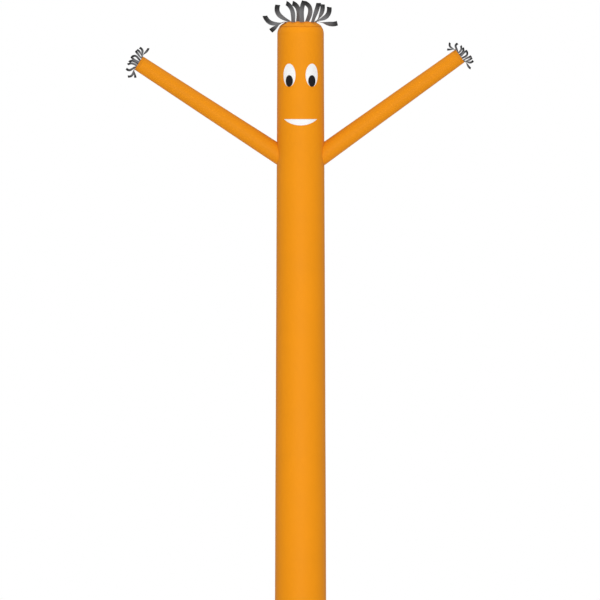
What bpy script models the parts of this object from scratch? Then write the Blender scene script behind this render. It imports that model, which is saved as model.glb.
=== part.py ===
"""Inflatable air dancer: a tall tapered cloth tube with a rounded head and two raised arms,
a face of sewn-on patches, and a tuft of cloth strips on the head and at the end of each arm.

Metres, +Z up, the front towards -Y, the origin on the tube's axis where its hem meets the
ground. Left and right are as seen from the front. The air holds the cloth round, so each
piece is a thin shell, and a hair's breadth parts it from the piece that it is sewn to.

Run with: blender --background --factory-startup --python part.py
"""

import math

import bmesh
import bpy
from mathutils import Matrix, Vector

MM = 0.001
SHARP_ANGLE = math.radians(40)  # edges sharper than this are drawn as edges

# Cloth
CLOTH = 2 * MM  # thickness of the tube, the arms and the head
HEM = 3.5 * MM  # thickness where an edge is turned in and sewn
HEM_FADE = 4 * MM  # length over which a hem thins down to the cloth
GAP = 0.3 * MM  # left between two pieces that are sewn together

# Tube, from the ground up to the seam of the head
BASE_RADIUS = 228.6 * MM
BASE_HEM_DEPTH = 50 * MM
SHOULDER_RADIUS = 204.8 * MM
SHOULDER_HEIGHT = 5797 * MM
SHOULDER_ROUNDING = 105 * MM
SEAM_ANGLE = math.radians(55)  # down from the top of the rounding
TUBE_SIDES = 48
TUBE_STEPS = 9  # lengths that the straight part is divided into
SHOULDER_STEPS = 3

# Head
HEAD_STEPS = 4  # from the seam to the flat of the top
HEAD_CROWN = 3 * MM  # rise of the middle above the edge of the flat
CROWN_RING = 0.5  # place of the ring inside the flat, as a share of its radius

# Arms. tilt: from upright, in degrees. height: where the arm's axis meets the tube's. reach:
# from there to the hand. hair: size of the hand's tuft beside the head's. lean: degrees that
# the tuft leans about the arm's axis, in the plane of both arms. lift: how much farther from
# the hand its strips reach, in mm at the head's size.
ARM_COLUMNS = ("tilt", "height", "reach", "hair", "lean", "lift")
ARM_ROWS = {
    "left": (-56.85, 4611 * MM, 1697 * MM, 0.48, -3, 14),
    "right": (54.30, 4596 * MM, 1724 * MM, 0.45, -9, 0),
}
ARMS = {side: dict(zip(ARM_COLUMNS, row)) for side, row in ARM_ROWS.items()}
ARM_ROOT_RADIUS = 85 * MM
ARM_ROOT_REACH = 254 * MM  # where the radius above is measured
HAND_RADIUS = 69.5 * MM
HAND_HEM_DEPTH = 25 * MM
ARM_SIDES = 32
ARM_STEPS = 4
SADDLE_PASSES = 30  # steps that bring each point of the root onto the tube's wall
BORE_CUT = (120 * MM, 360 * MM)  # stretch of the arm's bore that is cut from the tube's wall

# Face: heights of centres and half sizes, widths measured round the wall
PATCH = 1 * MM
PATCH_LIFT = 0.6 * MM  # from the tube's wall, whose flats a patch bridges
PUPIL_LIFT = 0.4 * MM  # from the white behind it
EYE_SPREAD = math.radians(29.25)  # from the middle of the front
EYE_HEIGHT = 5431 * MM
EYE_HALF_WIDTH = 61 * MM
EYE_HALF_HEIGHT = 101.5 * MM
PUPIL_SPREAD = math.radians(28.65)
PUPIL_HEIGHT = 5380 * MM
PUPIL_HALF_WIDTH = 35.5 * MM
PUPIL_HALF_HEIGHT = 51 * MM
SMILE_TOP = 5045 * MM
SMILE_HALF_WIDTH = 160 * MM
SMILE_DEPTH = 55 * MM
SMILE_FULLNESS = 2.0  # power of the lower edge's curve
EYE_COLUMNS = 12
PUPIL_COLUMNS = 10
SMILE_COLUMNS = 22

# Tufts: each strip grows from a narrow band of tape that lies in a ring
STRIP = 2 * MM
STRIP_STEPS = 8
ROOT_RISE = 30 * MM  # how far a strip heads straight away from the band
DEPTH_SPREAD = 1.35  # how much deeper a strip's tip lies than its root
TURN_LENGTH = 0.55  # share of a strip's length over which it twists to its face
TAPE = 2 * MM
HEAD_TUFT_RADIUS = 140 * MM
HEAD_TAPE_WIDTH = 6 * MM
HEAD_TAPE_LIFT = 1 * MM
HEAD_TUFT_LIFT = 4  # how much farther from the head the strips reach, in mm

# One row for each strip. root: degrees round the ring from +X, 90 at the back. bend and tip:
# across and along the tuft from the ring's centre, in mm. face: degrees that the strip's flat
# side turns away from the front. turned: share of its length where that turn is done. width: in
# mm.
STRIP_COLUMNS = ("root", "bend_x", "bend_z", "tip_x", "tip_z", "face", "turned", "width")
STRIPS = (
    (165, -238, -72, -264, -76, 20, 0.95, 44),
    (-155, -262, -75, -314, 55, 15, 0.80, 42),
    (131, -240, 42, -200, 155, 12, 0.75, 44),
    (-117, -48, 122, -127, 166, 15, 0.70, 40),
    (98, 12, 138, -72, 170, 10, 0.60, 42),
    (-85, -4, 120, 34, 186, 20, 0.60, 42),
    (67, 132, 128, 38, 172, 15, 0.70, 40),
    (-42, 140, 96, 160, 168, 20, 0.75, 42),
    (-14, 205, 72, 192, 157, 8, 0.80, 40),
    (30, 266, 14, 252, 135, 5, 0.80, 42),
    (12, 258, -38, 324, -8, 5, 0.85, 42),
)

# Colours and roughness of the cloths
ORANGE = (0.930, 0.330, 0.011)
WHITE = (0.90, 0.90, 0.90)
BLACK = (0.012, 0.011, 0.013)
CHARCOAL = (0.045, 0.045, 0.048)
NYLON_ROUGHNESS = 0.55
PATCH_ROUGHNESS = 0.6
RIBBON_ROUGHNESS = 0.5


def clear_scene():
    for obj in list(bpy.data.objects):
        bpy.data.objects.remove(obj, do_unlink=True)


def cloth_material(name, colour, roughness):
    material = bpy.data.materials.new(name)
    material.use_nodes = True
    shader = material.node_tree.nodes["Principled BSDF"]
    shader.inputs["Base Color"].default_value = (*colour, 1)
    shader.inputs["Roughness"].default_value = roughness
    shader.inputs["Metallic"].default_value = 0
    return material


def join_rings(bm, first, second):
    """Faces between two rings of vertices; a ring of one vertex is a pole."""
    count = max(len(first), len(second))
    if count == 1:
        return
    for i in range(count):
        j = (i + 1) % count
        a, b = first[i % len(first)], first[j % len(first)]
        c, d = second[j % len(second)], second[i % len(second)]
        bm.faces.new(list(dict.fromkeys((a, b, c, d))))


def join_strip(bm, first, second):
    """Faces between two sections of a strip, split the same way on both of its flat sides, so
    that they stay parallel where it twists."""
    for i in range(4):
        j = (i + 1) % 4
        a, b, c, d = first[i], first[j], second[j], second[i]
        if i == 3:
            bm.faces.new((a, b, d))
            bm.faces.new((b, c, d))
        else:
            bm.faces.new((a, b, c))
            bm.faces.new((a, c, d))


def new_object(name, bm, material):
    bmesh.ops.recalc_face_normals(bm, faces=bm.faces)
    mesh = bpy.data.meshes.new(name)
    bm.to_mesh(mesh)
    bm.free()
    mesh.shade_smooth()
    mesh.set_sharp_from_angle(angle=SHARP_ANGLE)
    mesh.materials.append(material)
    obj = bpy.data.objects.new(name, mesh)
    bpy.context.scene.collection.objects.link(obj)
    return obj


def loft(name, rings, material, loop=False, caps=False):
    """A solid skinned over rings of points. loop joins the last ring to the first."""
    bm = bmesh.new()
    loops = [[bm.verts.new(point) for point in ring] for ring in rings]
    for first, second in zip(loops, loops[1:]):
        join_rings(bm, first, second)
    if loop:
        join_rings(bm, loops[-1], loops[0])
    if caps:
        bm.faces.new(loops[0])
        bm.faces.new(loops[-1])
    return new_object(name, bm, material)


def turned_ring(radius, height):
    if radius == 0:
        return [Vector((0, 0, height))]
    angles = [math.tau * i / TUBE_SIDES for i in range(TUBE_SIDES)]
    return [Vector((radius * math.cos(a), radius * math.sin(a), height)) for a in angles]


def tube_radius(height):
    return BASE_RADIUS + (SHOULDER_RADIUS - BASE_RADIUS) * height / SHOULDER_HEIGHT


def shoulder_point(angle, depth=0.0):
    """Radius and height on the head's rounding, depth under its outside."""
    rounding = SHOULDER_ROUNDING - depth
    radius = SHOULDER_RADIUS - SHOULDER_ROUNDING + rounding * math.sin(angle)
    return radius, SHOULDER_HEIGHT + rounding * math.cos(angle)


def spaced(start, end, steps):
    return [start + (end - start) * i / steps for i in range(steps + 1)]


def build_tube(material):
    """One shell: up the outside, over the seam edge, down the inside to the turned-in hem."""
    turns = spaced(math.pi / 2, SEAM_ANGLE, SHOULDER_STEPS)[1:]
    heights = spaced(0, SHOULDER_HEIGHT, TUBE_STEPS)
    outside = [(tube_radius(z), z) for z in heights] + [shoulder_point(a) for a in turns]
    inside = [shoulder_point(a, CLOTH) for a in reversed(turns)]
    inside += [(tube_radius(z) - CLOTH, z) for z in reversed(heights[1:])]
    fade = BASE_HEM_DEPTH + HEM_FADE
    inside.append((tube_radius(fade) - CLOTH, fade))
    inside.append((tube_radius(BASE_HEM_DEPTH) - HEM, BASE_HEM_DEPTH))
    inside.append((BASE_RADIUS - HEM, 0))
    rings = [turned_ring(r, z) for r, z in outside + inside]
    return loft("body_tube", rings, material, loop=True)


def build_head(material):
    """The round panel that closes the tube: its rounded edge, its flat and a slight crown."""
    seam = SEAM_ANGLE - GAP / SHOULDER_ROUNDING
    turns = spaced(seam, 0, HEAD_STEPS)
    flat, top = shoulder_point(0)
    crown = [(flat * CROWN_RING, top + HEAD_CROWN * (1 - CROWN_RING**2)), (0, top + HEAD_CROWN)]
    outside = [shoulder_point(a) for a in turns] + crown
    inside = [(r, z - CLOTH) for r, z in reversed(crown)]
    inside += [shoulder_point(a, CLOTH) for a in reversed(turns)]
    rings = [turned_ring(r, z) for r, z in outside + inside]
    return loft("head_top", rings, material, loop=True)


def arm_frame(arm):
    """Local +Z runs from the tube's axis along the arm."""
    lift = Matrix.Translation((0, 0, arm["height"]))
    return lift @ Matrix.Rotation(math.radians(arm["tilt"]), 4, "Y")


def arm_radius(arm, distance):
    share = (distance - ARM_ROOT_REACH) / (arm["reach"] - ARM_ROOT_REACH)
    return ARM_ROOT_RADIUS + (HAND_RADIUS - ARM_ROOT_RADIUS) * share


def arm_point(arm, angle, distance, depth):
    radius = arm_radius(arm, distance) - depth
    local = Vector((radius * math.cos(angle), radius * math.sin(angle), distance))
    return arm_frame(arm) @ local


def arm_ring(arm, distance, depth):
    angles = [math.tau * i / ARM_SIDES for i in range(ARM_SIDES)]
    return [arm_point(arm, a, distance, depth) for a in angles]


def saddle_ring(arm, depth):
    """The arm's root, cut so that it meets the tube's round wall all the way about."""
    ring = []
    for i in range(ARM_SIDES):
        angle = math.tau * i / ARM_SIDES
        distance = ARM_ROOT_REACH
        for _ in range(SADDLE_PASSES):
            point = arm_point(arm, angle, distance, depth)
            distance += tube_radius(point.z) + GAP - math.hypot(point.x, point.y)
        ring.append(arm_point(arm, angle, distance, depth))
    return ring


def build_arm(side, material):
    """One shell: from the saddle out to the hand, and back inside past the turned-in hem."""
    arm = ARMS[side]
    hem_start = arm["reach"] - HAND_HEM_DEPTH
    stations = spaced(ARM_ROOT_REACH, arm["reach"], ARM_STEPS)[1:]
    rings = [saddle_ring(arm, 0)]
    rings += [arm_ring(arm, d, 0) for d in stations]
    rings.append(arm_ring(arm, arm["reach"], HEM))
    rings.append(arm_ring(arm, hem_start, HEM))
    rings.append(arm_ring(arm, hem_start - HEM_FADE, CLOTH))
    rings += [arm_ring(arm, d, CLOTH) for d in reversed(stations[:-1])]
    rings.append(saddle_ring(arm, CLOTH))
    return loft(f"arm_{side}", rings, material, loop=True)


def open_tube_to_arm(tube, side, material):
    """Cuts the arm's bore through the tube's wall, so that the air reaches the hand."""
    rings = [arm_ring(ARMS[side], d, CLOTH) for d in BORE_CUT]
    cutter = loft(f"cut_{side}", rings, material, caps=True)
    cutter.hide_render = True
    cutter.display_type = "WIRE"
    cut = tube.modifiers.new(f"arm hole {side}", "BOOLEAN")
    cut.operation = "DIFFERENCE"
    cut.object = cutter


def wall_point(across, height, lift):
    """A point off the tube's front: across is measured round the wall from the middle."""
    radius = tube_radius(height)
    angle = across / radius
    return Vector(((radius + lift) * math.sin(angle), -(radius + lift) * math.cos(angle), height))


def build_patch(name, columns, lift, material):
    """A piece of cloth on the wall, from columns of (across, top height, bottom height)."""
    rings = []
    for across, top, bottom in columns:
        corners = ((top, lift + PATCH), (bottom, lift + PATCH), (bottom, lift), (top, lift))
        rings.append([wall_point(across, height, off) for height, off in corners])
    return loft(name, rings, material, caps=True)


def oval_columns(centre, height, half_width, half_height, count):
    turns = [math.pi * (i + 0.5) / count for i in range(count)]
    return [
        (
            centre - half_width * math.cos(a),
            height + half_height * math.sin(a),
            height - half_height * math.sin(a),
        )
        for a in turns
    ]


def build_eye(side, sign, white, black):
    across = sign * EYE_SPREAD * tube_radius(EYE_HEIGHT)
    oval = oval_columns(across, EYE_HEIGHT, EYE_HALF_WIDTH, EYE_HALF_HEIGHT, EYE_COLUMNS)
    build_patch(f"eye_white_{side}", oval, PATCH_LIFT, white)
    across = sign * PUPIL_SPREAD * tube_radius(PUPIL_HEIGHT)
    oval = oval_columns(across, PUPIL_HEIGHT, PUPIL_HALF_WIDTH, PUPIL_HALF_HEIGHT, PUPIL_COLUMNS)
    build_patch(f"pupil_{side}", oval, PATCH_LIFT + PATCH + PUPIL_LIFT, black)


def build_smile(material):
    """A half-moon: straight above, and a curve below that deepens to the middle."""
    columns = []
    for i in range(SMILE_COLUMNS):
        share = -math.cos(math.pi * (i + 0.5) / SMILE_COLUMNS)
        depth = SMILE_DEPTH * (1 - abs(share) ** SMILE_FULLNESS)
        columns.append((share * SMILE_HALF_WIDTH, SMILE_TOP, SMILE_TOP - depth))
    return build_patch("smile", columns, PATCH_LIFT, material)


def tape_station(angle, radius, width, slope):
    """Four corners of the tape: inner and outer edge of its underside, then of its top."""
    along = Vector((math.cos(slope), 0, -math.sin(slope)))
    up = Vector((math.sin(slope), 0, math.cos(slope)))
    middle = Vector((radius, 0, 0))
    corners = [
        middle - along * width / 2,
        middle + along * width / 2,
        middle - along * width / 2 + up * TAPE,
        middle + along * width / 2 + up * TAPE,
    ]
    turn = Matrix.Rotation(angle, 3, "Z")
    return [turn @ corner for corner in corners]


def curve_point(points, share):
    """A point on the cubic curve that four points steer."""
    weights = [math.comb(3, i) * share**i * (1 - share) ** (3 - i) for i in range(4)]
    return sum((w * p for w, p in zip(weights, points)), Vector())


def strip_route(row, start, slope, scale, lean, lift):
    """Points along a strip's middle: straight away from the tape, past its bend, to its tip."""
    root = math.radians(row["root"])
    away = Vector((math.sin(slope) * math.cos(root), math.sin(slope) * math.sin(root), 1))
    swing = Matrix.Rotation(lean, 3, "Y")
    bend = swing @ Vector((row["bend_x"], 0, row["bend_z"] + lift)) * MM * scale
    tip = swing @ Vector((row["tip_x"], 0, row["tip_z"] + lift)) * MM * scale
    tip.y = start.y * DEPTH_SPREAD
    bend.y = (start.y + tip.y) / 2
    steering = (start, start + away.normalized() * ROOT_RISE, bend, tip)
    return [curve_point(steering, share) for share in spaced(0, 1, STRIP_STEPS)]


def eased(share, end):
    """How far a strip has turned from the tape's direction to its face, at a share of its length."""
    share = min(1.0, max(0.0, (share - end + TURN_LENGTH) / TURN_LENGTH))
    return share * share * (3 - 2 * share)


def strip_sections(row, route, scale):
    """Four corners at each step after the first; the strip turns from the tape to its face."""
    root = math.radians(row["root"])
    tangent = Vector((-math.sin(root), math.cos(root), 0))
    sections = []
    turn_start = None
    for i in range(1, len(route)):
        heading = (route[min(i + 1, len(route) - 1)] - route[i - 1]).normalized()
        level = Vector((0, 1, 0)).cross(heading).normalized()
        edge_on = heading.cross(level)
        if turn_start is None:
            turn_start = math.atan2(tangent.dot(edge_on), tangent.dot(level))
            turn_end = math.radians(row["face"])
            turn_end += math.pi * round((turn_start - turn_end) / math.pi)
        turn = turn_start + (turn_end - turn_start) * eased(i / (len(route) - 1), row["turned"])
        across = (level * math.cos(turn) + edge_on * math.sin(turn)) * row["width"] * MM * scale / 2
        through = across.cross(heading).normalized() * STRIP / 2
        sections.append(
            [
                route[i] - across - through,
                route[i] - across + through,
                route[i] + across + through,
                route[i] + across - through,
            ]
        )
    return sections


def build_tuft(name, frame, radius, tape_width, slope, scale, lean, lift, material):
    """A ring of tape with the strips growing out of its top as one piece of cloth."""
    rows = [dict(zip(STRIP_COLUMNS, values)) for values in STRIPS]
    rows.sort(key=lambda row: row["root"] % 360)
    stations = []
    for i, row in enumerate(rows):
        root = math.radians(row["root"] % 360)
        half = row["width"] * MM * scale / 2 / radius
        following = math.radians(rows[(i + 1) % len(rows)]["root"] % 360)
        between = root + (following - root) % math.tau / 2
        stations += [(root - half, row), (root + half, None), (between, None)]
    bm = bmesh.new()
    rings = []
    for angle, _ in stations:
        corners = tape_station(angle, radius, tape_width, slope)
        rings.append([bm.verts.new(frame @ corner) for corner in corners])
    for i, (_, row) in enumerate(stations):
        a, b = rings[i], rings[(i + 1) % len(rings)]
        bm.faces.new((a[0], a[1], b[1], b[0]))
        bm.faces.new((a[1], a[3], b[3], b[1]))
        bm.faces.new((a[2], a[0], b[0], b[2]))
        foot = [a[2], a[3], b[3], b[2]]
        if row is None:
            bm.faces.new(foot)
            continue
        start = frame.inverted() @ (sum((v.co for v in foot), Vector()) / 4)
        route = strip_route(row, start, slope, scale, lean, lift)
        for section in strip_sections(row, route, scale):
            corners = [bm.verts.new(frame @ corner) for corner in section]
            join_strip(bm, foot, corners)
            foot = corners
        bm.faces.new(foot)
    return new_object(name, bm, material)


def build_head_tuft(material):
    slope = math.asin((HEAD_TUFT_RADIUS - shoulder_point(0)[0]) / SHOULDER_ROUNDING)
    lift = Matrix.Translation((0, 0, shoulder_point(slope, -HEAD_TAPE_LIFT)[1]))
    return build_tuft(
        name="hair_head",
        frame=lift,
        radius=HEAD_TUFT_RADIUS,
        tape_width=HEAD_TAPE_WIDTH,
        slope=slope,
        scale=1,
        lean=0,
        lift=HEAD_TUFT_LIFT,
        material=material,
    )


def build_hand_tuft(side, material):
    arm = ARMS[side]
    return build_tuft(
        name=f"hair_{side}_hand",
        frame=arm_frame(arm) @ Matrix.Translation((0, 0, arm["reach"] + GAP)),
        radius=HAND_RADIUS - HEM / 2,
        tape_width=HEM,
        slope=0,
        scale=arm["hair"],
        lean=math.radians(arm["lean"]),
        lift=arm["lift"],
        material=material,
    )


def build_dancer():
    tube_cloth = cloth_material("orange nylon tube", ORANGE, NYLON_ROUGHNESS)
    tube = build_tube(tube_cloth)
    build_head(cloth_material("orange nylon head", ORANGE, NYLON_ROUGHNESS))
    build_head_tuft(cloth_material("charcoal ribbon head", CHARCOAL, RIBBON_ROUGHNESS))
    build_smile(cloth_material("white nylon smile", WHITE, PATCH_ROUGHNESS))
    white = cloth_material("white nylon eyes", WHITE, PATCH_ROUGHNESS)
    black = cloth_material("black nylon pupils", BLACK, PATCH_ROUGHNESS)
    arm_cloth = cloth_material("orange nylon arms", ORANGE, NYLON_ROUGHNESS)
    ribbon = cloth_material("charcoal ribbon hands", CHARCOAL, RIBBON_ROUGHNESS)
    for side, sign in (("left", -1), ("right", 1)):
        build_arm(side, arm_cloth)
        open_tube_to_arm(tube, side, tube_cloth)
        build_eye(side, sign, white, black)
        build_hand_tuft(side, ribbon)


clear_scene()
build_dancer()
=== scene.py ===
"""Inflatable air dancer: the sewn cloth over the fixed frame.

Metres, +Z up, the face towards -Y; left and right are as seen from the front. Every piece of
cloth is drawn as the air holds it, with its hems, seams and stitches.
"""

import math

import bpy
from mathutils import Matrix, Vector, noise


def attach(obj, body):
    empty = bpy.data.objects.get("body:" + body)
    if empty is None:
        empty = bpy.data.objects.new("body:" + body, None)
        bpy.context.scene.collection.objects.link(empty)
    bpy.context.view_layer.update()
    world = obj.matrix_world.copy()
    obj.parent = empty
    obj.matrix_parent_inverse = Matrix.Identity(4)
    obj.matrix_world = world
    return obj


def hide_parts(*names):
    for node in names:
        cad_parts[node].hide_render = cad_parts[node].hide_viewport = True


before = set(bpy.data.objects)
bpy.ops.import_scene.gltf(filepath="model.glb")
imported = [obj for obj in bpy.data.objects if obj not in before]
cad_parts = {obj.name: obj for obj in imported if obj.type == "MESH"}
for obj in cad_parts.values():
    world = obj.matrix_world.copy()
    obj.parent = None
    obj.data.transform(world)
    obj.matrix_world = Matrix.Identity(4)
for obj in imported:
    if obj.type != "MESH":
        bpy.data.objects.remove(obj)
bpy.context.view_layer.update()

# ---------------------------------------------------------------- Camera, floor and light
# A long lens far in front of the dancer, level with the middle of the view, a pale floor, and
# soft light: one wide panel in front, a weaker one behind, and an even glow from all round.
LENS_MM = 1365.33
CAMERA_PLACE = (-0.005, -200, 3.457)
VIEW_END = 900

lens = bpy.data.cameras.new("camera")
lens.lens = LENS_MM
lens.sensor_width = 36
lens.clip_end = VIEW_END
camera = bpy.data.objects.new("camera", lens)
camera.location = CAMERA_PLACE
camera.rotation_euler = (math.pi / 2, 0, 0)
bpy.context.scene.collection.objects.link(camera)
bpy.context.scene.camera = camera
bpy.context.scene.view_settings.view_transform = "Standard"

FLOOR_RADIUS = 12
FLOOR_DROP = 0.0005  # keeps the floor clear of the foot's hem
FLOOR_SIDES = 96
FLOOR_COLOUR = (0.8, 0.8, 0.8, 1)

floor_mesh = bpy.data.meshes.new("floor")
rim = [math.tau * i / FLOOR_SIDES for i in range(FLOOR_SIDES)]
floor_mesh.from_pydata(
    [(FLOOR_RADIUS * math.cos(a), FLOOR_RADIUS * math.sin(a), -FLOOR_DROP) for a in rim],
    [],
    [tuple(range(FLOOR_SIDES))],
)
floor = bpy.data.objects.new("floor", floor_mesh)
bpy.context.scene.collection.objects.link(floor)
floor_paint = bpy.data.materials.new("pale floor")
floor_paint.use_nodes = True
floor_shader = floor_paint.node_tree.nodes["Principled BSDF"]
floor_shader.inputs["Base Color"].default_value = FLOOR_COLOUR
floor_shader.inputs["Roughness"].default_value = 0.9
floor_mesh.materials.append(floor_paint)


def add_panel(name, place, target, size, power):
    """A soft panel of light; its size is in metres and its power in watts."""
    light = bpy.data.lights.new(name, "AREA")
    light.shape = "RECTANGLE"
    light.size, light.size_y = size
    light.energy = power
    panel = bpy.data.objects.new(name, light)
    panel.location = place
    panel.rotation_euler = (Vector(target) - Vector(place)).to_track_quat("-Z", "Y").to_euler()
    bpy.context.scene.collection.objects.link(panel)
    panel.visible_camera = False


add_panel("front light", (0, -15, 2.6), (0, 0, 3.2), (7, 4), 1230)
add_panel("back light", (0, 14, 4.5), (0, 0, 3.2), (4, 4), 420)
add_panel("top light", (0, -0.35, 7.6), (0, 0, 5.9), (1.2, 1.2), 16)

WHITE_LIGHT = (1, 1, 1, 1)
GLOW_STRENGTH = 0.47  # the even glow on the dancer; the backdrop itself is seen at full white

world = bpy.data.worlds.new("studio")
world.use_nodes = True
bpy.context.scene.world = world
studio = world.node_tree
glow = studio.nodes["Background"]
glow.inputs["Color"].default_value = WHITE_LIGHT
glow.inputs["Strength"].default_value = GLOW_STRENGTH
backdrop = studio.nodes.new("ShaderNodeBackground")
backdrop.inputs["Color"].default_value = WHITE_LIGHT
backdrop.inputs["Strength"].default_value = 1.0
seen = studio.nodes.new("ShaderNodeLightPath")
either = studio.nodes.new("ShaderNodeMixShader")
studio.links.new(seen.outputs["Is Camera Ray"], either.inputs["Fac"])
studio.links.new(glow.outputs["Background"], either.inputs[1])
studio.links.new(backdrop.outputs["Background"], either.inputs[2])
studio.links.new(either.outputs["Shader"], studio.nodes["World Output"].inputs["Surface"])

# ---------------------------------------------------------------- Body tube
# One length of orange ripstop nylon, rolled and closed at the back with a flat-felled seam.
# The foot is turned in and sewn as a hem; each arm's hole is cut in the wall; the top edge
# tucks under the head's round panel.
MM = 0.001
CLOTH = 0.8 * MM  # thickness of every orange piece

BASE_RADIUS = 228.6 * MM
SHOULDER_RADIUS = 204.8 * MM
SHOULDER_HEIGHT = 5797 * MM
SHOULDER_ROUNDING = 105 * MM
SEAM_ANGLE = math.radians(55)  # where the head's seam lies, down from the rounding's top

FOOT_HEM_DEPTH = 50 * MM
FOOT_STITCH = 44 * MM  # height of the hem's row of stitches
HEM_FOLD = 1.1 * MM  # radius of the fold at a hem's edge
TUCK_DEPTH = 1.6 * MM  # how far the top edge dips to pass under the head's panel
TUBE_COLUMNS = 120
FLAT_RADIUS = 216.7 * MM  # the tube's middle radius, for laying its cloth out flat
TUBE_GIRTH = math.tau * FLAT_RADIUS
SEAM_TURN = math.pi / 2  # every felled seam runs down the back

# The felled seam's cross-section: distance from its middle and rise above the wall, in mm
FELL = ((9, 0), (6.6, 0.1), (6, 0.8), (5.4, 1.35), (3.8, 1.0), (2, 1.4), (0, 1.4))
FELL_STITCH = 3.8 * MM
FELL_HALF = 6.1 * MM  # half the width over which the cloth lies double

# Arms. tilt: degrees from upright. height: where the arm's axis passes the tube's. reach: from
# there to the open hand.
ARMS = {
    "left": {"tilt": -56.85, "height": 4.611, "reach": 1.697, "seed": 3.0},
    "right": {"tilt": 54.30, "height": 4.596, "reach": 1.724, "seed": 8.0},
}
ARM_ROOT_RADIUS = 85 * MM
ARM_ROOT_REACH = 254 * MM  # where the radius above is measured
HAND_RADIUS = 69.5 * MM
HOLE_RADIUS = 85.4 * MM
HOLE_STITCH = 7 * MM  # the stitches lie this far out from the hole's edge
HOLE_STEPS = 120  # points of that row of stitches
HOLE_COLUMNS = 11  # half size of the piece of the grid that is reshaped round a hole
HOLE_ROWS = 14
HOLE_RINGS = 6
WALL_PASSES = 30  # steps that find where a line meets the wall

# How far the cloth rises and falls at most
UNEVENNESS = 0.7 * MM
CREASE_AT_HOLE = 2.6 * MM
CREASE_REACH = 0.25  # no crease goes farther from an arm's hole
PUCKER_AT_FELL = 1.1 * MM
PUCKER_AT_HEM = 0.9 * MM
GATHER_AT_HEAD = 1.6 * MM
DENT_AT_HOLE = 0.8 * MM  # under a row of stitches
DENT_AT_HEM = 0.5 * MM

for arm in ARMS.values():
    arm["frame"] = Matrix.Translation((0, 0, arm["height"])) @ Matrix.Rotation(
        math.radians(arm["tilt"]), 4, "Y"
    )
    arm["inverse"] = arm["frame"].inverted()


def ripple(x, y=0.0, z=0.0):
    """A smooth rise and fall, from about -1 to 1."""
    return noise.noise(Vector((x, y, z)))


def polar(radius, angle, height):
    return Vector((radius * math.cos(angle), radius * math.sin(angle), height))


def tube_radius(height):
    """The plain taper from the foot to the shoulder."""
    return BASE_RADIUS + (SHOULDER_RADIUS - BASE_RADIUS) * height / SHOULDER_HEIGHT


def skin_radius(angle, height):
    """The wall's radius with the slight unevenness of cloth under pressure."""
    uneven = ripple(1.7 * math.cos(angle), 1.7 * math.sin(angle), 1.4 * height)
    return tube_radius(height) + UNEVENNESS * uneven


def wall_distance(arm, turn, radius):
    """How far along an arm's axis a line at that turn and radius meets the tube's wall."""
    distance = ARM_ROOT_REACH
    for _ in range(WALL_PASSES):
        place = arm["frame"] @ polar(radius, turn, distance)
        meets = skin_radius(math.atan2(place.y, place.x), place.z)
        distance += meets - math.hypot(place.x, place.y)
    return distance


def arm_creases(place):
    """Soft creases that run out over the wall from each arm's root."""
    rise = 0.0
    for arm in ARMS.values():
        local = arm["inverse"] @ place
        beyond = math.hypot(local.x, local.y) - HOLE_RADIUS
        if local.z > 0 and 0 < beyond < CREASE_REACH:
            turn = math.atan2(local.y, local.x)
            fade = min(1.0, beyond / 0.02) * math.exp(-beyond / 0.055)
            folds = ripple(4 * math.cos(turn), 4 * math.sin(turn), arm["seed"])
            rise += CREASE_AT_HOLE * fade * folds
            rise -= DENT_AT_HOLE * math.exp(-(((beyond - HOLE_STITCH) / 0.004) ** 2))
    return rise


def from_seam(angle, radius=FLAT_RADIUS):
    """Distance round the cloth from the middle of its felled seam, negative on one side."""
    return radius * ((angle - SEAM_TURN + math.pi) % math.tau - math.pi)


def laid_flat(angle, up):
    """A point's place on the tube's cloth laid out flat, from the felled seam and the foot."""
    return FLAT_RADIUS * (angle - SEAM_TURN) % TUBE_GIRTH, up


def fell_rise(apart):
    """Rise of the felled seam at a distance from its middle, both in metres."""
    apart = abs(apart) / MM
    for (far, low), (near, high) in zip(FELL, FELL[1:]):
        if near <= apart <= far:
            return MM * (low + (high - low) * (far - apart) / (far - near))
    return 0.0


def shoulder_pucker(angle, along):
    """Gathers where the head's round panel is sewn on; along is the distance from that seam."""
    gather = ripple(11 * math.cos(angle), 11 * math.sin(angle), 2.5)
    return GATHER_AT_HEAD * gather * math.exp(-abs(along) / 0.02)


def wall_rise(angle, height):
    """Everything that lifts or dents the tube's wall, beyond its plain round shape."""
    apart = from_seam(angle)
    rise = fell_rise(apart)
    near_fell = math.exp(-abs(apart) / 0.035)
    rise += PUCKER_AT_FELL * near_fell * ripple(height / 0.04, apart / 0.05, 7)
    near_hem = math.exp(-abs(height - FOOT_STITCH) / 0.018)
    rise += PUCKER_AT_HEM * near_hem * ripple(9 * math.cos(angle), 9 * math.sin(angle), 5)
    rise -= DENT_AT_HEM * math.exp(-(((height - FOOT_STITCH) / 0.004) ** 2))
    rise += arm_creases(polar(tube_radius(height), angle, height))
    return rise


def spaced(start, end, steps):
    """Evenly spaced numbers with both ends."""
    return [start + (end - start) * i / steps for i in range(steps + 1)]


def seam_columns(count, scale, centre):
    """Angles round a tube: even, and closer together over its felled seam."""
    across = [s for s, _ in FELL[:-1]] + [0] + [-s for s, _ in reversed(FELL[:-1])]
    near = [centre - s * MM / scale for s in across]
    edge = FELL[0][0] * MM / scale
    even = [centre + math.tau * i / count for i in range(1, count)]
    return near + [a for a in even if edge < a - centre < math.tau - edge]


CORNER_ANGLE = math.radians(50)  # edges that bend more than this aren't shaded smooth


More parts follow.
